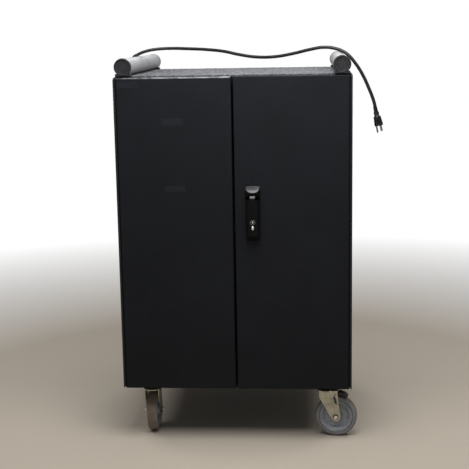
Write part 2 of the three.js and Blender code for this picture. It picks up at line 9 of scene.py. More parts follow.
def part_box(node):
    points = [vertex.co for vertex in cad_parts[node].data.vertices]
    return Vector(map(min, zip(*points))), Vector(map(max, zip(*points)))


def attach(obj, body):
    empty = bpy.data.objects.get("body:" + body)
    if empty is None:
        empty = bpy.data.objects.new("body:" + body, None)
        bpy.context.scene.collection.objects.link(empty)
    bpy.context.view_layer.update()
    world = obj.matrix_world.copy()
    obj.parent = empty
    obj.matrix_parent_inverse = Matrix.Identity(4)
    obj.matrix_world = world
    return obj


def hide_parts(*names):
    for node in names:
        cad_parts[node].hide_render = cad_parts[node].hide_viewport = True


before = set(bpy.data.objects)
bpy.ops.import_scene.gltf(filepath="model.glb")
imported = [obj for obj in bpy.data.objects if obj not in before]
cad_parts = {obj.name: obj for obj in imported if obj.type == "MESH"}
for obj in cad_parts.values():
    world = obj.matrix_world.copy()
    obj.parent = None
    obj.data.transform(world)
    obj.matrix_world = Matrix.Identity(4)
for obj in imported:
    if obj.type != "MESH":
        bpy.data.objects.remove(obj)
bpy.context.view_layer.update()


# Camera: a long lens at chest height in front of the doors, a little to the right of the middle.
# It stands where the photograph was taken from, so both pictures share one frame.
def placed(name, data):
    """A new object in the scene."""
    thing = bpy.data.objects.new(name, data)
    bpy.context.scene.collection.objects.link(thing)
    return thing


lens = bpy.data.cameras.new("camera")
lens.sensor_width = 36
lens.lens = 81.73
camera = placed("camera", lens)
camera.location = (0.2245, -3.3116, 1.193)
camera.rotation_euler = [math.radians(turn) for turn in (79.3467, 0.9721, 4.078)]
bpy.context.scene.camera = camera


# Cabinet: base pan, two sides, back, top and middle shelf of folded 1.5 mm steel sheet.
# The edges are broken by the press brake and the whole is sprayed with black textured powder coat.
def linear(code):
    """An sRGB hex colour as linear red, green, blue and alpha."""
    parts = [int(code[i : i + 2], 16) / 255 for i in (1, 3, 5)]
    return tuple(c / 12.92 if c <= 0.04045 else ((c + 0.055) / 1.055) ** 2.4 for c in parts) + (1.0,)


def add_node(material, kind, values=None, links=None, **settings):
    """One node of a material, with its settings, its socket values and the outputs that feed it."""
    node = material.node_tree.nodes.new(kind)
    for key, value in settings.items():
        setattr(node, key, value)
    for key, value in (values or {}).items():
        node.inputs[key].default_value = value
    for key, output in (links or {}).items():
        material.node_tree.links.new(output, node.inputs[key])
    return node


def bare_material(name):
    """An empty node material and the output of its Object coordinates."""
    material = bpy.data.materials.new(name)
    material.use_nodes = True
    material.node_tree.nodes.clear()
    return material, add_node(material, "ShaderNodeTexCoord").outputs["Object"]


def spread(material, value, low, high, to_low=0.0, to_high=1.0):
    """A part of a value's range, stretched to another range."""
    ends = {"From Min": low, "From Max": high, "To Min": to_low, "To Max": to_high}
    return add_node(material, "ShaderNodeMapRange", ends, {"Value": value}).outputs[0]


def grained(
    name, dark, pale, grain, cloud, rough, bump,
    speck=(0.35, 0.65), soil=None, stretch=None, shine=0.5, metallic=0.0,
):
    """A coat, plating or moulding: grain of that size in mm in colour and relief, broad clouds in gloss.

    rough is the span of the roughness, bump the strength of the relief and its height in mm.
    speck is the part of the grain's range, mostly 0.3 to 0.7, that is spread from dark to pale.
    soil is a colour, the most of it that shows and the size of its patches in mm.
    stretch scales the pattern along X, Y and Z, for streaks. shine is the strength of the mirror light.
    """
    material, place = bare_material(name)
    if stretch:
        place = add_node(material, "ShaderNodeMapping", {"Scale": stretch}, {"Vector": place}).outputs[0]
    fine, broad, patch = [
        add_node(
            material,
            "ShaderNodeTexNoise",
            {"Scale": 1000 / size, "Detail": detail, "Roughness": 0.62},
            {"Vector": place},
        ).outputs[0]
        for size, detail in ((grain, 3.0), (cloud, 4.0), (soil[2] if soil else cloud, 6.0))
    ]
    shade = spread(material, fine, *speck)
    colour = add_node(
        material, "ShaderNodeMix", {6: linear(dark), 7: linear(pale)}, {0: shade}, data_type="RGBA"
    )
    if soil:
        cover = spread(material, patch, 0.42, 0.66, 0.0, soil[1])
        links = {0: cover, 6: colour.outputs[2]}
        colour = add_node(material, "ShaderNodeMix", {7: linear(soil[0])}, links, data_type="RGBA")
    gloss = spread(material, broad, 0.3, 0.7, *rough)
    relief = add_node(
        material, "ShaderNodeBump", {"Strength": bump[0], "Distance": bump[1] / 1000}, {"Height": fine}
    )
    shader = add_node(
        material, "ShaderNodeBsdfPrincipled", {"Specular IOR Level": shine, "Metallic": metallic},
        {"Base Color": colour.outputs[2], "Roughness": gloss, "Normal": relief.outputs[0]},
    )
    add_node(material, "ShaderNodeOutputMaterial", links={"Surface": shader.outputs[0]})
    return material


def make_piece(name, bm, finishes, body, stands_for=(), smooth=38, wall=0.0):
    """A bmesh as a finished object that rides on a body, shaded smooth up to an angle."""
    mesh = bpy.data.meshes.new(name)
    bm.to_mesh(mesh)
    bm.free()
    for finish in finishes:
        mesh.materials.append(finish)
    mesh.shade_smooth()
    mesh.set_sharp_from_angle(angle=math.radians(smooth))
    piece = placed(name, mesh)
    if wall:
        sheet = piece.modifiers.new("wall", "SOLIDIFY")
        sheet.thickness = wall
        sheet.offset = -1
        sheet.use_even_offset = True
    piece.modifiers.new("even_normals", "WEIGHTED_NORMAL").keep_sharp = True
    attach(piece, body)
    if stands_for:
        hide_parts(*stands_for)
    return piece


def soften(bm, offset, segments=2, angle=45, only=None, finish=None):
    """Rounds the edges that are sharper than an angle, and may give the new faces another finish."""
    edges = [
        edge
        for edge in bm.edges
        if len(edge.link_faces) == 2
        and edge.calc_face_angle() > math.radians(angle)
        and (only is None or only(edge))
    ]
    made = bmesh.ops.bevel(
        bm, geom=edges, offset=offset, offset_type="OFFSET", affect="EDGES", segments=segments,
        profile=0.5, material=-1, clamp_overlap=True,
    )
    if finish is not None:
        for face in made["faces"]:
            face.material_index = finish


def worked(node, edge, finish=None):
    """A copy of a CAD node with its triangles merged into plain faces and its edges broken."""
    bm = bmesh.new()
    bm.from_mesh(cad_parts[node].data)
    bmesh.ops.remove_doubles(bm, verts=bm.verts, dist=2e-5)
    bmesh.ops.dissolve_limit(bm, angle_limit=math.radians(1), verts=bm.verts, edges=bm.edges, delimit=set())
    soften(bm, edge, finish=finish)
    return bm


# The coat is sprayed as powder and baked: a fine dull grit, cloudy where it was thicker, rubbed on edges.
# Its grit is under a millimetre; it is drawn as coarse as it needs to show in the picture.
cabinet_coat = grained(
    "textured_black_powder_coat", "#0b0c10", "#131519", 2.6, 160, (0.58, 0.68), (0.3, 0.3),
    soil=("#181a1f", 0.3, 120), shine=0.15,
)
rubbed_coat = grained("powder_coat_rubbed_on_edges", "#1e1f21", "#303134", 1.6, 60, (0.34, 0.44), (0.2, 0.2))
sheet_edge = 0.0005
for node in ("base_pan", "left_side_panel", "right_side_panel", "back_panel", "top_panel", "middle_shelf"):
    make_piece(
        node + "_sheet", worked(node, sheet_edge, 1), [cabinet_coat, rubbed_coat], "cabinet",
        [node],
    )


# Screws: button heads of zinc-plated steel that hold the back panel to the flanges of the frame.
# Each head is turned with a domed edge.
def turned(bm, profile, place, steps, finish=0):
    """A lathe-turned closed body: (radius, length) points spun about local Z and put in place."""
    loop = [bm.verts.new((radius, 0, along)) for radius, along in profile]
    edges = [bm.edges.new(pair) for pair in zip(loop, loop[1:])]
    before = set(bm.verts) - set(loop)
    bmesh.ops.spin(
        bm, geom=loop + edges, cent=(0, 0, 0), axis=(0, 0, 1), angle=2 * math.pi, steps=steps,
        use_merge=True,
    )
    made = [vert for vert in bm.verts if vert not in before]
    bmesh.ops.remove_doubles(bm, verts=made, dist=1e-6)
    made = [vert for vert in bm.verts if vert not in before]
    faces = list({face for vert in made for face in vert.link_faces})
    bmesh.ops.recalc_face_normals(bm, faces=faces)
    bmesh.ops.transform(bm, matrix=place, verts=made)
    for face in faces:
        face.material_index = finish
    return faces


def towards(point, way):
    """A place at a point with local Z turned towards a way."""
    turn = Vector((0, 0, 1)).rotation_difference(Vector(way)).to_matrix().to_4x4()
    return Matrix.Translation(point) @ turn


def metal(name, dark, pale, grain, rough, bump, soil=None):
    """A bare or plated metal: fine marks in colour, gloss and relief."""
    return grained(name, dark, pale, grain, 60, rough, bump, soil=soil, metallic=1.0)


# Zinc plate is a cool bright grey when new and goes dull, with darker spots.
zinc = metal(
    "zinc_plated_steel", "#8b8a84", "#b3b1a9", 4.0, (0.3, 0.46), (0.12, 0.15), ("#6d6a60", 0.5, 18)
)
screw_head = [(0, 0.0022), (0.0021, 0.0022), (0.0032, 0.0018), (0.0041, 0.0008), (0.0042, 0), (0, 0)]
screw_columns = (-0.327, 0, 0.327)
screw_rows = (0.172, 0.4, 0.62, 0.84, 1.066)
back_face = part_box("back_panel")[1].y
bm = bmesh.new()
for column in screw_columns:
    for row in screw_rows:
        turned(bm, screw_head, towards((column, back_face, row), (0, 1, 0)), 20)
make_piece("back_panel_screws", bm, [zinc], "cabinet")

# Divider racks: ten laptop bays on each level, upright plates welded to a base plate.
# They are sprayed with a smoother dark grey powder coat, worn pale along the edges by the laptops.
rack_coat = grained("smooth_grey_powder_coat", "#34363a", "#404246", 1.8, 90, (0.38, 0.5), (0.2, 0.2))
rack_wear = grained("grey_powder_coat_worn_pale", "#4a4c50", "#6d6e70", 3.0, 30, (0.32, 0.45), (0.15, 0.15))
rack_edge = 0.0006
for node in ("lower_divider_rack", "upper_divider_rack"):
    plates = worked(node, rack_edge, 1)
    make_piece(node + "_plates", plates, [rack_coat, rack_wear], "cabinet", [node])


# Power strips: black ABS housings along the back, with ten outlets each.
# The outlet faces are moulded inserts with two blade slots and a round earth hole.
def block(bm, low, high):
    """A box between two corners."""
    low, high = Vector(low), Vector(high)
    middle = Matrix.Translation((low + high) / 2)
    bmesh.ops.create_cube(bm, size=1.0, matrix=middle @ Matrix.Diagonal((*(high - low), 1)))


# Moulded ABS has a fine spark-eroded grain; the deep slots are drawn as black blocks, as painted shadow.
strip_plastic = grained("moulded_black_abs", "#18191b", "#202123", 1.2, 60, (0.36, 0.48), (0.15, 0.1))
outlet_plastic = grained("moulded_grey_nylon", "#2d2e31", "#343539", 1.2, 40, (0.4, 0.5), (0.1, 0.1))
slot_dark = grained("outlet_slot_shadow", "#050505", "#0a0a0a", 1.0, 20, (0.7, 0.8), (0.1, 0.1))
outlets = 10
strip_end = 0.02
strip_edge = 0.0015
insert_sunk = 0.0015
insert_back = 0.0042
insert_half_wide = 0.0145
insert_half_high = 0.0125
insert_edge = 0.0012
blade_apart = 0.0063
blade_half = 0.001
blade_rise = 0.0025
slot_proud = 0.0002
slot_deep = 0.001
earth_drop = 0.0075
earth_hole = [(0, 0), (0.0024, 0), (0.0024, 0.0012), (0, 0.0012)]
for node in ("lower_power_strip", "upper_power_strip"):
    housing = worked(node, strip_edge)
    make_piece(node + "_housing", housing, [strip_plastic], "cabinet", [node])
    low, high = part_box(node)
    middle = (low + high) / 2
    pitch = (high.x - low.x - 2 * strip_end) / outlets
    face = low.y + insert_sunk
    faces, slots = bmesh.new(), bmesh.new()
    for i in range(outlets):
        x = low.x + strip_end + pitch * (i + 0.5)
        block(
            faces, (x - insert_half_wide, face, middle.z - insert_half_high),
            (x + insert_half_wide, low.y + insert_back, middle.z + insert_half_high),
        )
        for side, tall in ((-1, 0.004), (1, 0.0034)):
            blade = x + side * blade_apart
            block(
                slots, (blade - blade_half, face - slot_proud, middle.z + blade_rise - tall),
                (blade + blade_half, face + slot_deep, middle.z + blade_rise + tall),
            )
        turned(slots, earth_hole, towards((x, face + slot_deep, middle.z - earth_drop), (0, -1, 0)), 16)
    soften(faces, insert_edge, 3)
    make_piece(node + "_outlets", faces, [outlet_plastic], "cabinet")
    make_piece(node + "_outlet_slots", slots, [slot_dark], "cabinet")

# Top mat: a sheet of coarse recycled rubber glued over the whole top, under the feet of the tubes.
# Its face is wavy and rough, with a ragged cut edge; the black rubber is painted grey with pale specks,
# partly as dust and partly as painted sheen.
mat_rubber_dust_and_sheen = grained(
    "coarse_rubber_dust_and_painted_sheen", "#2c2d30", "#7c7d80", 9, 45, (0.6, 0.78), (0.9, 1.6), speck=(0.38, 0.66),
    soil=("#4c4d50", 0.5, 30), stretch=(1, 0.5, 1), shine=0.1,
)
mat_corner = 0.006
mat_wave = 0.0012
mat_ragged = 0.0009
grit_per_metre = 95
swells_per_metre = (14, 22)
rags_per_metre = 160
grit_share = 0.55
swell_share = 0.35
low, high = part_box("top_mat")
middle, half = (low + high) / 2, (high - low) / 2
bm = bmesh.new()
bmesh.ops.create_grid(bm, x_segments=220, y_segments=196, size=1.0)
reach = max(vert.co.x for vert in bm.verts)
for vert in bm.verts:
    x, y = vert.co.x / reach * half.x, vert.co.y / reach * half.y
    over = Vector((max(abs(x) - half.x + mat_corner, 0), max(abs(y) - half.y + mat_corner, 0)))
    if over.x and over.y and over.length > mat_corner:
        over = over.normalized() * mat_corner
        x = math.copysign(half.x - mat_corner + over.x, x)
        y = math.copysign(half.y - mat_corner + over.y, y)
    grit = noise.fractal(Vector((x * grit_per_metre, y * grit_per_metre, 0.0)), 0.8, 2.0, 4)
    swell = noise.noise(Vector((x * swells_per_metre[0], y * swells_per_metre[1], 3.0)))
    ragged = 0
    if abs(y) > half.y - 1e-4:
        ragged = mat_ragged * noise.noise(Vector((x * rags_per_metre, y * rags_per_metre, 7.0)))
    lift = min(max(0.5 + grit_share * grit + swell_share * swell, 0), 1)
    vert.co = (middle.x + x, middle.y + y + ragged, high.z - mat_wave * (1 - lift))
rim = [edge for edge in bm.edges if edge.is_boundary]
skirt = bmesh.ops.extrude_edge_only(bm, edges=rim)["geom"]
for vert in skirt:
    if isinstance(vert, bmesh.types.BMVert):
        vert.co.z = low.z
bmesh.ops.holes_fill(bm, edges=[edge for edge in bm.edges if edge.is_boundary])
bmesh.ops.recalc_face_normals(bm, faces=bm.faces)
make_piece("top_mat_sheet", bm, [mat_rubber_dust_and_sheen], "cabinet", ["top_mat"], smooth=60)

# Grip tubes: steel tube, 48 mm across, on both edges of the top, sprayed with grey hammered paint.
# The hammer finish has small dimples with darker rings, and is scuffed by hands.
tube_paint = grained(
    "hammered_grey_paint", "#747476", "#98989a", 3.6, 80, (0.42, 0.58), (0.4, 0.5), speck=(0.34, 0.64),
    soil=("#9e9ea0", 0.5, 40), shine=0.2,
)
tube_wall = 0.0028


def bar(bm, radius, long, place, sides, closed):
    """A straight bar or open tube with a number of sides, along local Z."""
    bmesh.ops.create_cone(
        bm, cap_ends=closed, segments=sides, radius1=radius, radius2=radius, depth=long, matrix=place
    )


for side in ("left", "right"):
    low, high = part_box(side + "_grip_tube")
    bm = bmesh.new()
    bar(bm, (high.z - low.z) / 2, high.y - low.y, towards((low + high) / 2, (0, 1, 0)), 80, False)
    node = side + "_grip_tube"
    make_piece(node + "_wall", bm, [tube_paint], "cabinet", [node], wall=tube_wall)

# Tube caps: moulded black nylon plugs with a raised rim, each on a low foot glued to the mat.
# The foot is hollowed on top, so the tube lies in it as in a saddle.
# Moulded nylon is a soft black with a faint sheen and a fine grain.
cap_nylon = grained(
    "moulded_black_nylon", "#151517", "#202023", 1.5, 40, (0.42, 0.55), (0.25, 0.2), shine=0.35
)
cap_radius = 0.025
cap_thick = 0.005
saddle_radius = 0.0244
foot_high = 0.006
foot_half = 0.022
foot_long = 0.03
foot_inset = 0.001
foot_edge = 0.0006
cap_profile = [
    (0, 0.0014), (0.0122, 0.0014), (0.0128, 0.0008), (0.0136, 0.0008), (0.0142, 0.0014), (0.0198, 0.0014),
    (0.0204, 0.0018), (0.0208, 0.0044), (0.0213, 0.005), (0.023, 0.005),
    (0.0241, 0.0045), (0.0248, 0.0036), (cap_radius, 0.0024), (cap_radius, 0), (0, 0),
]


def span(edge, axis):
    """How far an edge runs along an axis."""
    return abs(edge.verts[0].co[axis] - edge.verts[1].co[axis])


for side in ("left", "right"):
    for end, way in (("front", -1), ("rear", 1)):
        node = f"{side}_{end}_tube_cap"
        low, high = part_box(node)
        x = (low.x + high.x) / 2
        axis_z = high.z - cap_radius
        outer, inner = (low.y, low.y + foot_long) if way < 0 else (high.y, high.y - foot_long)
        bm = bmesh.new()
        ends = sorted((outer - way * foot_inset, inner))
        block(bm, (x - foot_half, ends[0], low.z), (x + foot_half, ends[1], low.z + foot_high))
        rails = [edge for edge in bm.edges if span(edge, 0) > foot_half]
        bmesh.ops.subdivide_edges(bm, edges=rails, cuts=16, use_grid_fill=True)
        for vert in bm.verts:
            if vert.co.z > low.z + foot_high / 2:
                saddle = axis_z - math.sqrt(saddle_radius**2 - (vert.co.x - x) ** 2)
                vert.co.z = min(low.z + foot_high, saddle)
        soften(bm, foot_edge, 2, 60)
        turned(bm, cap_profile, towards((x, outer - way * cap_thick, axis_z), (0, way, 0)), 72)
        make_piece(node + "_moulding", bm, [cap_nylon], "cabinet", [node])

# Doors: two pans of folded steel sheet with a round fold at the front and a lip at the back.
# They carry the same textured black coat as the cabinet.
door_sheet = 0.0015
door_fold = 0.005
door_lip = 0.012
door_deep = 0.02
lip_fold = 0.0012
near = 0.001


def door_pan(node):
    """The folded pan of a door, open at the back, as a single skin; the upper fold is finish 1."""
    low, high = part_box(node)
    middle = (low + high) / 2
    bm = bmesh.new()
    block(bm, low, (high.x, low.y + door_deep, high.z))
    open_back = [face for face in bm.faces if face.normal.y > 0.9]
    bmesh.ops.delete(bm, geom=open_back, context="FACES_ONLY")
    rim = [edge for edge in bm.edges if edge.is_boundary]
    for vert in bmesh.ops.extrude_edge_only(bm, edges=rim)["geom"]:
        if isinstance(vert, bmesh.types.BMVert):
            vert.co.x += math.copysign(door_lip, middle.x - vert.co.x)
            vert.co.z += math.copysign(door_lip, middle.z - vert.co.z)
    bmesh.ops.recalc_face_normals(bm, faces=bm.faces)
    if bm.faces[0].normal.dot(bm.faces[0].calc_center_median() - middle) < 0:
        bmesh.ops.reverse_faces(bm, faces=bm.faces)
    front, rear = low.y + near, low.y + door_deep - near
    soften(bm, door_fold, 6, 45, lambda edge: all(vert.co.y < front for vert in edge.verts))
    # The faces of the upper fold take finish 1, which on the left door is a pale copy of the coat as painted
    # highlight.
    for face in bm.faces:
        face.material_index = 1 if face.normal.z > 0.25 and face.normal.y < -0.1 else 0
    soften(bm, lip_fold, 2, 60, lambda edge: any(vert.co.y > rear for vert in edge.verts))
    return bm


# The left door's upper fold is painted paler in patches, as a painted highlight where the round fold catches
# the light from above.
painted_highlight_fold = grained(
    "powder_coat_worn_pale", "#2c2d30", "#898b8e", 28, 70, (0.34, 0.44), (0.2, 0.2), speck=(0.34, 0.72)
)
for side, upper_edge in (("left", painted_highlight_fold), ("right", cabinet_coat)):
    node = side + "_door"
    make_piece(
        node + "_pan", door_pan(node), [cabinet_coat, upper_edge], node + "_leaf",
        [node], smooth=50, wall=door_sheet,
    )

# Label strips: three blank strips of dark vinyl tape stuck to the left door.
# They are smoother and a little paler than the coat.
vinyl = grained(
    "smooth_dark_vinyl", "#121418", "#171a1e", 6.0, 15, (0.5, 0.6), (0.05, 0.05), shine=0.18
)
label_places = (
    (-0.3265, -0.268, 1.048, 1.066), (-0.202, -0.14, 0.941, 0.962), (-0.198, -0.138, 0.751, 0.769),
)
label_corner = 0.0015
tape_front = 0.0004
tape_back = 0.00005
tape_half = (tape_front - tape_back) / 2
door_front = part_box("left_door")[0].y
for number, (x0, x1, z0, z1) in enumerate(label_places, 1):
    bm = bmesh.new()
    block(bm, (x0, door_front - tape_front, z0), (x1, door_front - tape_back, z1))
    soften(bm, label_corner, 3, 60, lambda edge: span(edge, 1) > tape_half)
    make_piece(f"label_strip_{number}", bm, [vinyl], "left_door_leaf")

# Door fittings inside: the strike plate of the magnetic catch and the two guides of the latch rods.
# They are small zinc-plated pressings, spot welded to the lips of the doors.
strike_low = 1.03
strike_high = 1.075
strike_thick = 0.0012
weld = 0.0001
fitting_edge = 0.0004
catch_edge = 0.0008
catch_low, catch_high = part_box("magnetic_catch")
strike_back = door_front + door_deep
bm = bmesh.new()
block(
    bm, (catch_low.x, strike_back - strike_thick, strike_low),
    (catch_high.x, strike_back + weld, strike_high),
)
soften(bm, fitting_edge)
make_piece("catch_strike_plate", bm, [zinc], "left_door_leaf")
make_piece(
    "magnetic_catch_case", worked("magnetic_catch", catch_edge), [strip_plastic], "cabinet",
    ["magnetic_catch"],
)
rod_guides = (("upper_latch_rod", 0.067, 1.018), ("lower_latch_rod", 0.043, 0.222))
guide_inner = 0.0055
guide_reach = 0.014
guide_half = 0.012
guide_thick = 0.0014
guide_weld = 0.0002
tab_front = 0.001
tab_half = 0.001
tab_reach = 0.008
bm = bmesh.new()
for rod, x, z in rod_guides:
    low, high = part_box(rod)
    tab_back = (low.y + high.y) / 2 + tab_reach
    block(
        bm, (guide_inner, strike_back - guide_thick, z - guide_half),
        (x + guide_reach, strike_back + guide_weld, z + guide_half),
    )
    block(
        bm, (x - guide_half, strike_back - tab_front, z - tab_half),
        (x + guide_half, tab_back, z + tab_half),
    )
soften(bm, fitting_edge)
make_piece("latch_rod_guides", bm, [zinc], "right_door_leaf")

# Piano hinges: the knuckles of a frame leaf and a door leaf alternate on one long pin.
# Rolled from 1.2 mm steel strip and sprayed black with the cabinet; the pin is bright drawn wire.
# The coat lies thin and smooth on the rolled strip, so each knuckle has a small light of its own.
hinge_coat = grained(
    "black_coat_on_hinge", "#0d0e10", "#191a1c", 2.0, 30, (0.4, 0.52), (0.3, 0.3), shine=0.25
)
pin_steel = metal("bright_drawn_steel", "#8f8f8c", "#b5b5b1", 3.0, (0.25, 0.4), (0.1, 0.1))
knuckle_pitch = 0.0127
knuckle_play = 0.0002
barrel_radius = 0.0035
barrel_rim = 0.0031
barrel_bore = 0.0018
barrel_chamfer = 0.0004
hinge_end = 0.001
leaf_front = 0.0037
leaf_offsets = {"frame": (0.0005, 0.0017), "door": (-0.0034, -0.0022)}
pin_radius = 0.0016
pin_tip = 0.0011
pin_chamfer = 0.0005


def rod_profile(start, stop, radius, tip, chamfer, bore=0):
    """The profile of a round rod with chamfered ends, closed to a collar where it has a bore."""
    profile = [(bore, start), (tip, start), (radius, start + chamfer)]
    profile += [(radius, stop - chamfer), (tip, stop), (bore, stop)]
    return profile + profile[:1] if bore else profile


for side, sign in (("left", -1), ("right", 1)):
    low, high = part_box(side + "_hinge_pin")
    axis = (low + high) / 2
    long = high.z - low.z
    count = 2 * round(long / knuckle_pitch / 2)
    pitch = (long - 2 * hinge_end) / count
    knuckle = rod_profile(
        knuckle_play, pitch - knuckle_play, barrel_radius, barrel_rim, barrel_chamfer, barrel_bore
    )
    for leaf, first, body in (("frame", 0, "cabinet"), ("door", 1, side + "_door_leaf")):
        node = f"{side}_hinge_{leaf}_leaf"
        leaf_low, leaf_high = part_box(node)
        bm = bmesh.new()
        for i in range(first, count, 2):
            turned(bm, knuckle, Matrix.Translation((axis.x, axis.y, low.z + hinge_end + i * pitch)), 20)
        edges = sorted(axis.x + sign * offset for offset in leaf_offsets[leaf])
        block(bm, (edges[0], axis.y + leaf_front, leaf_low.z), (edges[1], leaf_high.y, leaf_high.z))
        make_piece(node + "_knuckles", bm, [hinge_coat], body, [node])
    pin = rod_profile(0, long, pin_radius, pin_tip, pin_chamfer)
    bm = bmesh.new()
    turned(bm, pin, Matrix.Translation((axis.x, axis.y, low.z)), 16)
    make_piece(side + "_hinge_pin_rod", bm, [pin_steel], "cabinet", [side + "_hinge_pin"])

# Swing-handle lock: base plate, turning head, hinged lever, nickel cylinder and key plug.
# The black pieces are zinc die castings with a dull black enamel; faces of the head and neck that look up
# take a lighter, glossier copy as painted highlight, and the head's lower faces the darker dull one as
# painted shade.
# The brass cylinder has a pale satin nickel plate; the ring is a darker dull copy and the plug face round
# the keyway a near-black copy, both as painted shade.
enamel_painted_highlight = grained(
    "black_enamel_painted_highlight", "#121214", "#19191b", 2.5, 25, (0.33, 0.41), (0.04, 0.05), shine=0.6,
)
dull_enamel_and_painted_shade = grained(
    "dull_black_enamel_and_painted_shade", "#060607", "#0a0a0b", 2.5, 25, (0.5, 0.6), (0.15, 0.15), shine=0.08
)
satin_nickel = metal("satin_nickel_plate", "#d6d2c9", "#ebe8e1", 2.0, (0.36, 0.46), (0.05, 0.05))
dull_nickel_and_painted_shade = metal("nickel_plate_dull_and_painted_shade", "#6a6862", "#86837c", 2.0, (0.3, 0.42), (0.1, 0.1))
painted_shade_nickel = metal("nickel_plate_dark_as_painted_shade", "#2b2a28", "#45433f", 2.0, (0.3, 0.42), (0.1, 0.1))
plate_low, plate_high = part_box("lock_base_plate")
lever_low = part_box("lock_lever")[0]
lock_x = (plate_low.x + plate_high.x) / 2
lock_top = plate_high.z
lever_front = lever_low.y
lever_back = plate_low.y - 0.0005
plate_corner = 0.009
plate_round = 0.0015
bm = bmesh.new()
block(bm, plate_low, plate_high)
soften(bm, plate_corner, 8, 45, lambda edge: span(edge, 1) > 2 * near)
soften(bm, plate_round, 3, 60, lambda edge: all(vert.co.y < plate_low.y + near for vert in edge.verts))
make_piece("lock_base_casting", bm, [dull_enamel_and_painted_shade], "right_door_leaf", ["lock_base_plate"])


# The head's top slopes to the front and rolls over into a broad round rim that catches the light.
# The underside is cut back to the front, with a channel in which the neck of the lever swings.
head_half = 0.0205
head_deep = lever_back - lever_front
channel_half = 0.0084
channel_deep = 0.0162
channel_top = lock_top - 0.022
field_share = 0.58
head_slope = 0.71
rim_drop = 0.0022
rim_drop_front = 0.0014
skirt_tall = 0.037
under_slope = 0.49
under_break = 0.0112
skirt_facing = 0.05


def arch(half, deep, steps, power, flat):
    """(across, out) points from one edge of the back, round a full front, to the other edge."""
    points = [(half, 0.0)]
    for i in range(steps + 1):
        turn = math.pi * i / steps
        across = math.copysign(abs(math.cos(turn)) ** power, math.cos(turn))
        points.append((half * across, deep * (flat + (1 - flat) * max(math.sin(turn), 0) ** power)))
    return points + [(-half, 0.0)]


def head_mesh():
    """The lock's head: rings from its top field, over the rim, to an underside with the lever's channel."""
    bm = bmesh.new()
    plan = arch(head_half, head_deep, 35, 0.85, 0.15)
    last = len(plan) - 1
    rings = []
    for k in range(7):
        roll = math.radians(15 * k)
        share = field_share + (1 - field_share) * math.sin(roll)
        ring = []
        for across, out in plan:
            drop = (rim_drop + rim_drop_front * out / head_deep) * (1 - math.cos(roll))
            z = lock_top - head_slope * out * share - drop
            ring.append(bm.verts.new((lock_x + across * share, lever_back - out * share, z)))
        rings.append(ring)
    under = [lock_top - skirt_tall + under_slope * out + max(out - under_break, 0) for across, out in plan]
    rings.append([
        bm.verts.new((lock_x + across, lever_back - out, z)) for (across, out), z in zip(plan, under)
    ])
    for ring, lower in zip(rings, rings[1:]):
        for i in range(last):
            bm.faces.new((ring[i], ring[i + 1], lower[i + 1], lower[i]))
    for i in range(last // 2):
        bm.faces.new((rings[0][i], rings[0][i + 1], rings[0][last - i - 1], rings[0][last - i]))
    inner = [i for i in range(last // 2) if plan[i][1] <= channel_deep]
    low, roof = {}, {}
    for i in inner:
        for side, at in ((1, i), (-1, last - i)):
            x, y = lock_x + side * channel_half, lever_back - plan[i][1]
            low[at] = bm.verts.new((x, y, under[i]))
            roof[at] = bm.verts.new((x, y, channel_top))
    floor_ring = rings[-1]
    for i in inner[:-1]:
        for here, there in ((i, i + 1), (last - i, last - i - 1)):
            bm.faces.new((floor_ring[here], floor_ring[there], low[there], low[here]))
            bm.faces.new((low[here], low[there], roof[there], roof[here]))
        bm.faces.new((roof[i], roof[i + 1], roof[last - i - 1], roof[last - i]))
    end = inner[-1]
    twin = last - end
    bm.faces.new((low[end], low[twin], roof[twin], roof[end]))
    sill = [floor_ring[i] for i in (end, end + 1, twin - 1, twin)]
    bm.faces.new(sill + [low[twin], low[end]])
    for i in range(end + 1, last // 2):
        bm.faces.new((floor_ring[i], floor_ring[i + 1], floor_ring[last - i - 1], floor_ring[last - i]))
    back = [ring[0] for ring in rings] + [low[0], roof[0], roof[last], low[last]]
    bm.faces.new(back + [ring[last] for ring in reversed(rings)])
    bmesh.ops.remove_doubles(bm, verts=bm.verts, dist=1e-6)
    bmesh.ops.recalc_face_normals(bm, faces=bm.faces)
    # Faces that look up take the lighter glossy enamel as painted highlight, the rest the darker dull one as
    # painted shade.
    for face in bm.faces:
        face.material_index = 1 if face.normal.z < skirt_facing else 0
    return bm


make_piece(
    "lock_head_casting", head_mesh(), [enamel_painted_highlight, dull_enamel_and_painted_shade], "lock_turning_head",
    ["lock_head"],
)


def slab(bm, loops, move):
    """A plate with an outline and holes, drawn out along a vector."""
    edges = []
    for loop in loops:
        verts = [bm.verts.new(point) for point in loop]
        edges += [bm.edges.new(pair) for pair in zip(verts, verts[1:] + verts[:1])]
    filled = bmesh.ops.triangle_fill(bm, use_beauty=True, use_dissolve=False, edges=edges)["geom"]
    faces = [item for item in filled if isinstance(item, bmesh.types.BMFace)]
    raised = bmesh.ops.extrude_face_region(bm, geom=faces)["geom"]
    verts = [item for item in raised if isinstance(item, bmesh.types.BMVert)]
    bmesh.ops.translate(bm, vec=move, verts=verts)
    bmesh.ops.recalc_face_normals(bm, faces=bm.faces)


def slice_off(bm, point, way):
    """Cuts away what lies beyond a plane and closes the cut."""
    geometry = bm.verts[:] + bm.edges[:] + bm.faces[:]
    bmesh.ops.bisect_plane(bm, geom=geometry, dist=1e-6, plane_co=point, plane_no=way, clear_outer=True)
    bmesh.ops.holes_fill(bm, edges=[edge for edge in bm.edges if edge.is_boundary])


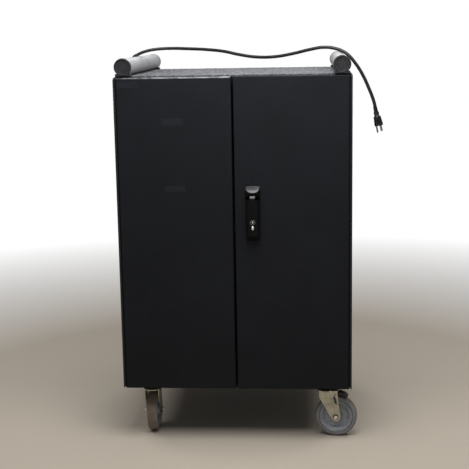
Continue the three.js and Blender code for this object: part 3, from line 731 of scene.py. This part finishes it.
# The lever is a bar with a rounded front; its neck goes up into the head, on the cross pin.
# The neck's upright front takes the darker dull enamel as painted shade, and its slope and sides the lighter
# glossy copy as painted highlight.
lever_top = lock_top - 0.039
cross = Vector((lock_x, lever_back - 0.0072, lock_top - 0.029))
lever_half = 0.019
lever_edge = 0.0016
outline = [
    (lock_x + x, lever_back - out, lever_low.z) for x, out in arch(lever_half, head_deep, 24, 0.6, 0.35)
]
bm = bmesh.new()
slab(bm, [outline], (0, 0, lever_top - lever_low.z))
slice_off(bm, (lock_x, lever_back - 0.008, lever_low.z), (0, -0.0145, -0.0115))
soften(bm, lever_edge, 3, 40)
neck_half = 0.007
neck_round = 0.006
neck_edge = 0.0007
neck_front = lever_front + 0.0008
neck_foot = lever_top - 0.004
neck = [(neck_front, neck_foot), (cross.y + neck_round, neck_foot)]
neck += [
    (cross.y + neck_round * math.cos(math.pi * i / 12), cross.z + neck_round * math.sin(math.pi * i / 12))
    for i in range(8)
]
neck += [(neck_front + 0.0045, cross.z + 0.003), (neck_front, cross.z - 0.005)]
neck_bm = bmesh.new()
slab(neck_bm, [[(lock_x - neck_half, y, z) for y, z in neck]], (2 * neck_half, 0, 0))
soften(neck_bm, neck_edge, 2, 50)
# The upright front is the darker dull enamel as painted shade, the slope and sides the lighter glossy one as
# painted highlight.
for face in neck_bm.faces:
    face.material_index = 1 if face.normal.y < -0.95 else 0
make_piece("lock_lever_casting", bm, [dull_enamel_and_painted_shade], "swing_lever", ["lock_lever"])
make_piece("lock_lever_neck", neck_bm, [enamel_painted_highlight, dull_enamel_and_painted_shade], "swing_lever")
pin_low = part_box("lever_pin")[0]
pin_profile = rod_profile(0, 0.036, 0.0019, 0.0015, 0.0004)
bm = bmesh.new()
turned(bm, pin_profile, towards((pin_low.x, cross.y, cross.z), (1, 0, 0)), 20)
make_piece("lever_cross_pin", bm, [pin_steel], "lock_turning_head", ["lever_pin"])

# The cylinder shows as a dull ring round the key plug, with a bright domed foot below it.
cylinder_z = lock_top - 0.102
foot_z = lock_top - 0.1181
foot_stretch = 1.6
foot_lean = 0.2
ring = [
    (0.0062, 0.017), (0.0076, 0.017), (0.0076, 0.0006), (0.0072, 0),
    (0.0066, 0), (0.0062, 0.0006), (0.0062, 0.017),
]
dome = [
    (0, -0.0016), (0.0019, -0.0015), (0.0031, -0.001), (0.0037, 0),
    (0.0039, 0.0016), (0.0039, 0.012), (0, 0.012),
]
bm = bmesh.new()
# The ring takes the dull nickel copy, darkened as painted shade.
turned(bm, ring, towards((lock_x, lever_front - 0.0005, cylinder_z), (0, 1, 0)), 48, 1)
made = turned(bm, dome, towards((lock_x, lever_front, foot_z), (0, 1, 0)), 32)
for vert in {vert for face in made for vert in face.verts}:
    rise = (vert.co.z - foot_z) * foot_stretch
    vert.co.z = foot_z + rise
    vert.co.y += rise * foot_lean
plated = [satin_nickel, dull_nickel_and_painted_shade]
make_piece("lock_cylinder_shell", bm, plated, "swing_lever", ["lock_cylinder"])
plug_face = [
    (0, -0.0002), (0.0016, -0.0002), (0.002, 0.0002), (0.0048, 0.0003),
    (0.0057, 0.001), (0.0059, 0.0016), (0.0059, 0.0135), (0, 0.0135),
]
plug_boss = 0.0019
bm = bmesh.new()
turned(bm, plug_face, towards((lock_x, lever_front - 0.0003, cylinder_z), (0, 1, 0)), 48)
# The plug face takes the near-black nickel copy as painted shade; the boss round the keyway is satin nickel.
for face in bm.faces:
    middle = face.calc_center_median()
    face.material_index = 1 if math.hypot(middle.x - lock_x, middle.z - cylinder_z) < plug_boss else 0
make_piece("key_plug_face", bm, [painted_shade_nickel, satin_nickel], "key_core", ["key_plug"])
keyway_half_wide = 0.0005
keyway_half_tall = 0.0038
keyway_edge = 0.0003
# The keyway is a black block in the slot, as painted shadow.
bm = bmesh.new()
block(
    bm, (lock_x - keyway_half_wide, lever_front - 0.00055, cylinder_z - keyway_half_tall),
    (lock_x + keyway_half_wide, lever_front + 0.002, cylinder_z + keyway_half_tall),
)
soften(bm, keyway_edge)
make_piece("key_plug_keyway", bm, [slot_dark], "key_core")

# Latch works behind the right door: a cam on the lock's spindle drives two round rods.
# Zinc-plated steel, left as stamped and turned.
for node, body in (
    ("latch_cam", "lock_turning_head"), ("upper_latch_rod", "upper_rod"), ("lower_latch_rod", "lower_rod")
):
    make_piece(node + "_steel", worked(node, fitting_edge), [zinc], body, [node])

# Casters: top plate, swivel fork, axle bolt and wheel; the front two have a brake pedal.
# The pressings are zinc plated: cloudy and yellowed; the crown's rim and the axle bolt are a pale copy as
# painted highlight, and the races, cup and washers a dark copy as painted shade.
# The wheels are dull grey rubber, brown with dust on the tread, on a smoother and cooler nylon core.
fork_zinc = metal(
    "yellowed_zinc_plate", "#a39e8c", "#bdb9a8", 7.0, (0.36, 0.5), (0.12, 0.2), ("#8f8973", 0.5, 30)
)
painted_highlight_zinc = metal("zinc_as_painted_highlight", "#d2cfc4", "#e6e4dc", 3.0, (0.26, 0.38), (0.06, 0.1))
painted_shade_steel = metal("steel_dark_as_painted_shade", "#1d1b18", "#35322c", 4.0, (0.35, 0.5), (0.2, 0.2))
tread_rubber = grained(
    "grey_thermoplastic_rubber", "#686b6f", "#7d8185", 5.0, 40, (0.5, 0.65), (0.2, 0.3),
    soil=("#6d6558", 0.5, 26), shine=0.4,
)
dusty_tread = grained(
    "tread_brown_with_dust", "#695f53", "#82786a", 3.0, 30, (0.65, 0.8), (0.3, 0.3),
    soil=("#574a3c", 0.6, 22), shine=0.25,
)
core_nylon = grained(
    "moulded_grey_nylon_core", "#777b82", "#90959d", 6.0, 40, (0.28, 0.4), (0.08, 0.2),
    soil=("#5f5a52", 0.35, 30),
)
pedal_coat = grained(
    "brown_black_coat_on_pedal", "#261c16", "#3d2e25", 1.5, 20, (0.4, 0.55), (0.25, 0.2),
    soil=("#4a3a2d", 0.5, 12), shine=0.3,
)
wheel_radius = 0.0625
trail = 0.032
leg_in = 0.0195
leg_out = 0.0225
plate_top = 0.1597
plate_under = plate_top - 0.004
crown_top = plate_under - 0.0125
crown_under = crown_top - 0.003
axle = Vector((trail, 0, wheel_radius))


def arc(centre, radius, start, stop, steps):
    """Points of an arc in the XZ plane, at Y = 0."""
    turns = [math.radians(start + (stop - start) * i / steps) for i in range(steps + 1)]
    return [Vector((centre[0] + radius * math.cos(t), 0, centre[1] + radius * math.sin(t))) for t in turns]


def merge_in(bm, other):
    """Adds a finished bmesh to another and frees it."""
    carrier = bpy.data.meshes.new("carrier")
    other.to_mesh(carrier)
    other.free()
    bm.from_mesh(carrier)
    bpy.data.meshes.remove(carrier)


tread_from = 0.0606
rubber_from = 0.0501


def wheel_mesh():
    """A wheel: hub, dished disc, rim, a groove, and the rubber with its round tread."""
    bm = bmesh.new()
    half = [
        (0.0054, 0.018), (0.012, 0.018), (0.0148, 0.0172), (0.016, 0.014), (0.0175, 0.0085),
        (0.02, 0.0056), (0.024, 0.0042), (0.03, 0.0042), (0.0332, 0.0052), (0.0362, 0.0078),
        (0.0392, 0.0108), (0.042, 0.013), (0.0445, 0.0142), (0.0468, 0.015), (0.0482, 0.0152),
        (0.049, 0.0144), (0.0495, 0.0122), (0.0504, 0.0122), (0.0509, 0.0144), (0.0518, 0.0154),
        (0.055, 0.0158), (0.058, 0.0151), (0.0602, 0.013), (0.0616, 0.0098), (0.0623, 0.0058),
        (wheel_radius, 0.0),
    ]
    profile = half + [(radius, -y) for radius, y in reversed(half[:-1])]
    turned(bm, profile + profile[:1], towards(axle, (0, 1, 0)), 96)
    for face in bm.faces:
        offset = face.calc_center_median() - axle
        out = math.hypot(offset.x, offset.z)
        face.material_index = 2 if out > tread_from else 0 if out > rubber_from else 1
    return bm


def fork_mesh():
    """A fork: two slotted legs with a pressed rib each, the crown across them and its bearing cup."""
    bm = bmesh.new()
    leg = [Vector((-0.018, 0, crown_under)), Vector((-0.017, 0, 0.122))]
    leg_end = 0.014
    leg += arc((trail, wheel_radius), leg_end, 200, 370, 24)
    leg.append(Vector((0.0368, 0, crown_under)))
    tilt = math.radians(15)
    slot_reach = 0.0085
    slot_half = 0.0036
    slot_way = Vector((-math.sin(tilt), 0, math.cos(tilt))) * slot_reach
    slot_at = Vector((0.03, 0, 0.115))
    upper, lower = slot_at + slot_way, slot_at - slot_way
    slot = arc((upper.x, upper.z), slot_half, 15, 195, 8)
    slot += arc((lower.x, lower.z), slot_half, 195, 375, 8)
    rib_top = crown_top - 0.004
    rib = [
        (-0.008, rib_top), (0.017, 0.088), (0.021, 0.08),
        (0.026, 0.0782), (0.031, 0.082), (0.012, rib_top),
    ]
    for y in (leg_in, -leg_out):
        move = Vector((0, y, 0))
        slab(bm, [[p + move for p in leg], [p + move for p in slot]], (0, leg_out - leg_in, 0))
    soften(bm, 0.0011, 2, 50)
    for side in (1, -1):
        ribs = bmesh.new()
        slab(ribs, [[(x, side * (leg_out - 0.0002), z) for x, z in rib]], (0, side * 0.0012, 0))
        soften(ribs, 0.0009, 3, 50)
        merge_in(bm, ribs)
    crown = [(0.038, -leg_out), (0.038, leg_out)]
    for i in range(17):
        turn = math.radians(90 - 180 * i / 16)
        crown.append((-0.012 - 0.014 * math.cos(turn), leg_out * math.sin(turn)))
    plate = bmesh.new()
    slab(plate, [[(x, y, crown_under) for x, y in crown]], (0, 0, crown_top - crown_under))
    # The crown's rounded rim takes the pale zinc copy as painted highlight.
    soften(plate, 0.0009, 3, 50, finish=2)
    merge_in(bm, plate)
    cup = [
        (0.0066, -0.001), (0.0258, -0.001), (0.0264, 0.001), (0.0284, 0.0026), (0.03, 0.0038),
        (0.0306, 0.005), (0.03, 0.006), (0.0066, 0.006), (0.0066, -0.001),
    ]
    # The bearing cup takes the dark steel copy as painted shade under the plate.
    turned(bm, cup, Matrix.Translation((0, 0, crown_top)), 64, 1)
    return bm


def axle_mesh():
    """An axle bolt: shank, hexagon head, nut and two washers."""
    bm = bmesh.new()
    # Heads, nut and shank take the pale zinc copy as painted highlight; the washers the dark copy as painted
    # shade.
    shank = rod_profile(-0.0275, 0.0275, 0.005, 0.0042, 0.0008)
    hexagon = 0.0066
    for y0, y1 in ((-0.0288, -0.0238), (0.0238, 0.0308)):
        bar(bm, hexagon, y1 - y0, towards(axle + Vector((0, (y0 + y1) / 2, 0)), (0, 1, 0)), 6, True)
    soften(bm, 0.0016, 3, 40)
    turned(bm, shank, towards(axle, (0, 1, 0)), 24)
    washer = rod_profile(0, 0.0012, 0.008, 0.0076, 0.0003, 0.0052)
    washer_seat = leg_out + 0.0001
    for side in (1, -1):
        turned(bm, washer, towards(axle + Vector((0, side * washer_seat, 0)), (0, side, 0)), 32, 1)
    return bm


def plate_mesh():
    """A top plate with its race and kingpin, and four screws with larger heads than the back panel's."""
    bm = bmesh.new()
    block(bm, (-0.047, -0.034, plate_under), (0.047, 0.034, plate_top))
    soften(bm, 0.006, 6, 45, lambda edge: span(edge, 2) > 0.003)
    soften(bm, 0.0006, 2, 60)
    race = [
        (0, 0.001), (0.027, 0.001), (0.027, -0.0045), (0.0255, -0.006), (0.006, -0.006),
        (0.006, -0.0196), (0.01, -0.0196), (0.01, -0.0225), (0.0085, -0.0233), (0, -0.0233),
    ]
    # The race takes the dark steel copy as painted shade under the plate.
    turned(bm, race, Matrix.Translation((0, 0, plate_under)), 48, 1)
    larger = 1.4
    large_head = [(radius * larger, along) for radius, along in screw_head]
    for x in (-0.038, 0.038):
        for y in (-0.025, 0.025):
            turned(bm, large_head, towards((x, y, plate_under), (0, 0, -1)), 24)
    return bm


def pedal_mesh():
    """A brake pedal: a bent arm with a shoe under it, on a boss and a pin between the legs."""
    bm = bmesh.new()
    pivot = Vector((0.03, 0, 0.1315))
    arm = [
        (0.026, 0.1325), (0.031, 0.1335), (0.046, 0.1316), (0.058, 0.1272), (0.066, 0.1216),
        (0.0682, 0.1234), (0.06, 0.1304), (0.048, 0.1346), (0.032, 0.1354), (0.026, 0.1353),
    ]
    shoe = [(0.049, 0.131), (0.05, 0.1268), (0.06, 0.1238), (0.062, 0.1266)]
    for outline, wide in ((arm, 0.015), (shoe, 0.013)):
        slab(bm, [[(x, -wide, z) for x, z in outline]], (0, 2 * wide, 0))
    soften(bm, 0.0008, 2, 50)
    boss = rod_profile(-0.0188, 0.0188, 0.004, 0.0034, 0.0008)
    pin = [(0, -leg_out), (0.0024, -leg_out), (0.0024, leg_out), (0, leg_out)]
    turned(bm, boss, towards(pivot, (0, 1, 0)), 24)
    turned(bm, pin, towards(pivot, (0, 1, 0)), 20)
    return bm


casters = (
    ("front_left", -0.262, -0.244, 90), ("front_right", 0.262, -0.244, -5),
    ("rear_left", -0.262, 0.244, 168), ("rear_right", 0.262, 0.244, 53),
)
# Zinc, a dark copy as painted shade and a pale copy as painted highlight.
plated = [fork_zinc, painted_shade_steel, painted_highlight_zinc]
wheel_finish = [tread_rubber, core_nylon, dusty_tread]
bolt_finish = [painted_highlight_zinc, painted_shade_steel]
for name, x, y, azimuth in casters:
    stand = Matrix.Translation((x, y, 0))
    swung = stand @ Matrix.Rotation(math.radians(azimuth), 4, "Z")
    swivel = name + "_swivel"
    parts = [
        ("caster_plate", "plate_pressing", plate_mesh(), stand, plated, "cabinet", "zinc_steel"),
        ("fork", "fork_pressing", fork_mesh(), swung, plated, swivel, "zinc_steel"),
        ("wheel", "wheel_moulding", wheel_mesh(), swung, wheel_finish, name + "_roller", "wheel_rubber"),
        ("axle", "axle_bolt", axle_mesh(), swung, bolt_finish, swivel, "zinc_steel"),
    ]
    if name.startswith("front"):
        pedal = pedal_mesh()
        parts.append(
            ("brake_pedal", "pedal_pressing", pedal, swung, [pedal_coat], name + "_brake", "pedal_black")
        )
    for node, made, bm, place, finishes, body, slot in parts:
        bmesh.ops.transform(bm, matrix=place, verts=bm.verts)
        make_piece(f"{name}_{made}", bm, finishes, body, [f"{name}_{node}"])

# Cord gland: a black nylon bush in the left side with a tapered, ribbed boot round the lead.
# A lock nut holds it from inside the cabinet.
gland_at = Vector((-0.338, 0.19, 0.836))
gland_ribs = 4
rib_pitch = 0.0042
rib_deep = 0.0008
nut_radius = 0.014
nut_thick = 0.006
nut_inset = 0.0049
gland_profile = [(0.0053, 0.026), (0.0062, 0.026)]
for i in range(gland_ribs):
    start = 0.0245 - i * rib_pitch
    wide = 0.0066 + i * 0.0005
    waist = wide - rib_deep
    gland_profile += [(wide, start), (wide, start - 0.002)]
    gland_profile += [(waist, start - 0.0026), (waist, start - 0.0036)]
gland_profile += [
    (0.0095, 0.007), (0.0125, 0.0052), (0.0143, 0.0046), (0.015, 0.0036), (0.015, 0.0003),
    (0.0091, 0.0003), (0.0091, -0.012), (0.0053, -0.012), (0.0053, 0.026),
]
bm = bmesh.new()
turned(bm, gland_profile, towards(gland_at, (-1, 0, 0)), 48)
bar(bm, nut_radius, nut_thick, towards(gland_at + Vector((nut_inset, 0, 0)), (-1, 0, 0)), 6, True)
gland_bush = make_piece("cord_gland_bush", bm, [cap_nylon], "cabinet", ["cord_gland"])

# Mains lead: black PVC-jacketed cord, 9.5 mm across and 1.83 m long with its plug.
# It leaves the gland on the left side, hangs in a loop and lies over both grip tubes.
# The jacket is a soft black with a long faint light along it; the plug is glossier.
cord_pvc = grained(
    "black_pvc_jacket", "#0b0b0c", "#121214", 2.0, 40, (0.34, 0.46), (0.12, 0.1), shine=0.35
)
plug_pvc = grained("glossy_black_pvc", "#0b0b0c", "#121214", 2.0, 20, (0.2, 0.3), (0.05, 0.05))
cord_radius = 0.00475
cord_route = [
    (-354, 190, 836), (-368, 190, 836), (-376, 190, 836), (-396, 190, 830.4), (-410.8, 190, 815.6),
    (-416.3, 190, 795), (-409, 187, 675.5), (-402, 171, 633.5), (-385, 132.5, 616), (-368, 94, 633.5),
    (-361, 78, 675.5), (-355, 74.5, 800), (-349, 73.5, 910), (-344.4, 72, 1035), (-343.8, 67, 1091),
    (-340, 56, 1115), (-331, 42, 1129.2), (-319, 25, 1134.1), (-305, 6, 1140), (-283, -13, 1146.5),
    (-251, -38, 1151.7), (-200, -70, 1154.2), (-143, -98, 1152.6), (-87, -122, 1149.8),
    (-31.5, -146, 1143.8), (14, -166, 1134.2), (67.5, -188, 1127), (120, -210, 1127.9),
    (172.4, -231, 1136.4), (219, -248.5, 1147), (257, -261, 1152.7), (290, -270, 1149),
    (314, -276, 1139.3), (328, -279, 1129), (345, -280, 1109), (362.2, -280, 1083),
    (382.5, -280, 1041), (398.4, -280, 999), (405.6, -280, 966),
]
route = [Vector(point) / 1000 for point in cord_route]
curve = bpy.data.curves.new("mains_lead", "CURVE")
curve.dimensions = "3D"
curve.bevel_depth = cord_radius
curve.bevel_resolution = 5
curve.resolution_u = 8
curve.use_fill_caps = True
spline = curve.splines.new("BEZIER")
spline.bezier_points.add(len(route) - 1)
for knot, point in zip(spline.bezier_points, route):
    knot.co = point
    knot.handle_left_type = knot.handle_right_type = "AUTO"
curve.materials.append(cord_pvc)
lead = placed("mains_lead", curve)
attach(lead, "cabinet")
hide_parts("power_cord")

# Plug: a moulded black body with a collar, hollows for the fingers, a strain relief and three prongs.
# Body and relief are moulded onto the lead in one piece; local -Z is the way of the prongs.
plug_overlap = 0.008
plug_way = (route[-1] - route[-2]).normalized()
turn = Vector((0, 0, -1)).rotation_difference(plug_way).to_matrix().to_4x4()
plug_place = Matrix.Translation(route[-1] - plug_way * plug_overlap) @ turn
plug_profile = [(0, -0.042), (0.0106, -0.042), (0.0117, -0.0415), (0.0121, -0.0404), (0.0121, -0.0385)]
plug_profile += [(0.012 - 0.0002 * i, 0.002 * i - 0.0365) for i in range(10)]
plug_profile += [
    (0.0101, -0.0168), (0.0098, -0.0156), (0.009, -0.0147), (0.0072, -0.0136), (0.0065, -0.0124),
    (0.0065, -0.0112), (0.0071, -0.0106), (0.0074, -0.0098), (0.0074, -0.004), (0.0071, -0.003),
    (0.0062, -0.0022), (0.0058, 0), (0.0056, 0.006), (0.0053, 0.0125), (0.005, 0.014),
    (0, 0.014),
]
crease_deep = 0.002
hollow_deep = 0.0016
plug_stretch = 1.06
bm = bmesh.new()
turned(bm, plug_profile, Matrix.Identity(4), 120)
for vert in bm.verts:
    side = math.copysign(1, vert.co.y)
    along = math.exp(-(((vert.co.z + 0.0285) / 0.0095) ** 4))
    crease = crease_deep * math.exp(-(((vert.co.x + 0.0012) / 0.0013) ** 2))
    hollow = hollow_deep * math.exp(-(((vert.co.x - 0.0052) / 0.0026) ** 2))
    if abs(vert.co.y) > 0.004:
        vert.co.y -= side * along * (crease + hollow)
    vert.co.y *= plug_stretch
bmesh.ops.transform(bm, matrix=plug_place, verts=bm.verts)
plug_body = make_piece("plug_moulding", bm, [plug_pvc], "cabinet", ["plug"], smooth=30)
blade_off = 0.00635
blade_thin = 0.00075
prong_root = -0.0415
earth_prong = [
    (0, -0.061), (0.0013, -0.0607), (0.0021, -0.0598),
    (0.0024, -0.0585), (0.0024, prong_root), (0, prong_root),
]
bm = bmesh.new()
for y in (-blade_off, blade_off):
    block(bm, (0.0015, y - blade_thin, -0.058), (0.0075, y + blade_thin, prong_root))
soften(bm, 0.0006, 2, 60)
turned(bm, earth_prong, Matrix.Translation((-0.0072, 0, 0)), 24)
bmesh.ops.transform(bm, matrix=plug_place, verts=bm.verts)
prongs = make_piece("plug_prongs", bm, [dull_nickel_and_painted_shade], "cabinet")

# Stage: a pale floor that fades to white round the cart, under soft studio light.
# One soft lamp hangs high in front and one high on each other side; a small low one lights the casters.
fade_from = 1.1
fade_to = 3.0
floor_radius = 9.0
floor_finish, floor_place = bare_material("pale_floor")
away = add_node(floor_finish, "ShaderNodeVectorMath", links={0: floor_place}, operation="LENGTH")
fade = spread(floor_finish, away.outputs["Value"], fade_from, fade_to)


def combine(material, way, first, second):
    """Two outputs put together by a maths node."""
    return add_node(material, "ShaderNodeMath", links={0: first, 1: second}, operation=way).outputs[0]


ray = add_node(floor_finish, "ShaderNodeLightPath").outputs
seen = combine(floor_finish, "MAXIMUM", ray["Is Camera Ray"], ray["Is Glossy Ray"])
seen = combine(floor_finish, "MAXIMUM", seen, ray["Is Transmission Ray"])
share = combine(floor_finish, "MULTIPLY", fade, seen)
matt = add_node(
    floor_finish, "ShaderNodeBsdfPrincipled", {"Base Color": linear("#aca294"), "Roughness": 0.8}
)
white = add_node(floor_finish, "ShaderNodeEmission", {"Color": (1, 1, 1, 1), "Strength": 1.0})
both = add_node(
    floor_finish, "ShaderNodeMixShader", links={0: share, 1: matt.outputs[0], 2: white.outputs[0]},
)
add_node(floor_finish, "ShaderNodeOutputMaterial", links={"Surface": both.outputs[0]})
bm = bmesh.new()
bmesh.ops.create_circle(bm, cap_ends=True, segments=96, radius=floor_radius)
mesh = bpy.data.meshes.new("floor")
bm.to_mesh(mesh)
bm.free()
mesh.materials.append(floor_finish)
floor = placed("floor", mesh)

world = bpy.data.worlds.new("studio")
bpy.context.scene.world = world
world.use_nodes = True
world.node_tree.nodes.clear()
ray = add_node(world, "ShaderNodeLightPath").outputs
seen = combine(world, "MAXIMUM", ray["Is Camera Ray"], ray["Is Transmission Ray"])
ambient = add_node(world, "ShaderNodeBackground", {"Color": linear("#eff2f7"), "Strength": 0.17})
white = add_node(world, "ShaderNodeBackground", {"Color": (1, 1, 1, 1), "Strength": 1.0})
both = add_node(
    world, "ShaderNodeMixShader", links={0: seen, 1: ambient.outputs[0], 2: white.outputs[0]},
)
add_node(world, "ShaderNodeOutputWorld", links={"Surface": both.outputs[0]})

for name, place, aim, size, power in (
    ("front_lamp", (0.1, -0.85, 1.8), (0.05, -0.3, 0.8), 1.0, 27),
    ("right_lamp", (1.3, 0.0, 1.9), (0.3, 0, 0.6), 0.8, 14),
    ("left_lamp", (-1.3, 0.0, 1.9), (-0.3, 0, 0.6), 0.8, 14),
    ("back_lamp", (0.0, 1.5, 2.1), (0, 0.3, 0.5), 0.8, 14),
    ("low_lamp", (0.2, -2.2, 0.4), (0.1, -0.3, 0.15), 0.5, 2.6),
):
    lamp = bpy.data.lights.new(name, "AREA")
    lamp.shape = "SQUARE"
    lamp.size = size
    lamp.energy = power
    light = placed(name, lamp)
    light.location = place
    light.rotation_euler = (Vector(aim) - Vector(place)).to_track_quat("-Z", "Y").to_euler()

bpy.context.scene.view_settings.view_transform = "Standard"
